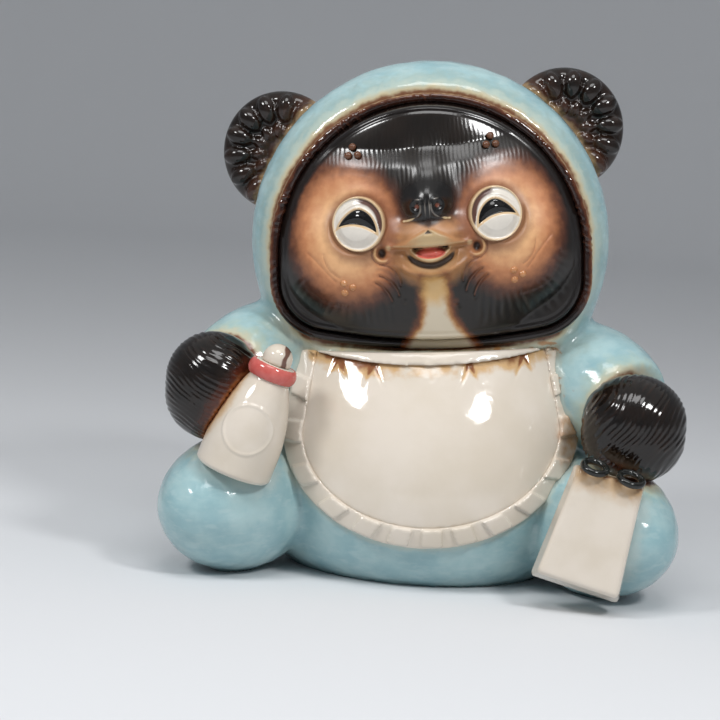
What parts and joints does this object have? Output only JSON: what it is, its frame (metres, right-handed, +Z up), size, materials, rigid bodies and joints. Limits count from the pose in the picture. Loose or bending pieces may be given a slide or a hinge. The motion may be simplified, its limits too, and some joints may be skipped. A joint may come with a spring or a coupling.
{
  "type": "tanuki statue",
  "caption": "Seated tanuki ornament in a hooded suit with a frilled bib, holding a flask and an account book; hollow glazed ceramic that stands on its flat base.",
  "frame": {"origin": "middle of the flat base, on the surface the figure stands on", "axes": "+Z up; the figure faces -Y, its right hand with the flask is at -X and its left hand with the ledger at +X"},
  "size_m": [0.2306, 0.187, 0.2332],
  "materials": {
    "suit_glaze": "pale turquoise glaze, mottled, clear and glossy",
    "trim_glaze": "reddish brown iron glaze over a crimped edge",
    "face_glaze": "tan cheeks sprayed into dark brown fur under a clear glaze",
    "fur_glaze": "dark brown to black glaze over combed clay",
    "cream_glaze": "clear glaze over cream slip",
    "pellet_glaze": "brown glaze over clay pellets",
    "eye_glaze": "white glaze, glossy",
    "pupil_glaze": "black glaze, glossy",
    "tongue_glaze": "red glaze, glossy",
    "cord_glaze": "pink red glaze",
    "binding_glaze": "green black glaze"
  },
  "bodies": {
    "root": {"body_shell": "suit_glaze", "right_leg": "suit_glaze", "left_leg": "suit_glaze", "right_sleeve": "suit_glaze", "left_sleeve": "suit_glaze", "head_shell": "suit_glaze", "hood_trim": "trim_glaze", "face": "face_glaze", "muzzle": "face_glaze", "right_paw": "fur_glaze", "left_paw": "fur_glaze", "right_ear": "fur_glaze", "left_ear": "fur_glaze", "tail": "fur_glaze", "nose": "fur_glaze", "bib": "cream_glaze", "bib_frill": "cream_glaze", "bib_collar": "cream_glaze", "flask": "cream_glaze", "flask_stopper": "cream_glaze", "ledger": "cream_glaze", "jaw": "cream_glaze", "face_pellets": "pellet_glaze", "right_eye": "eye_glaze", "left_eye": "eye_glaze", "right_pupil": "pupil_glaze", "left_pupil": "pupil_glaze", "tongue": "tongue_glaze", "flask_cord": "cord_glaze", "ledger_binding": "binding_glaze"}
  },
  "joints": []
}
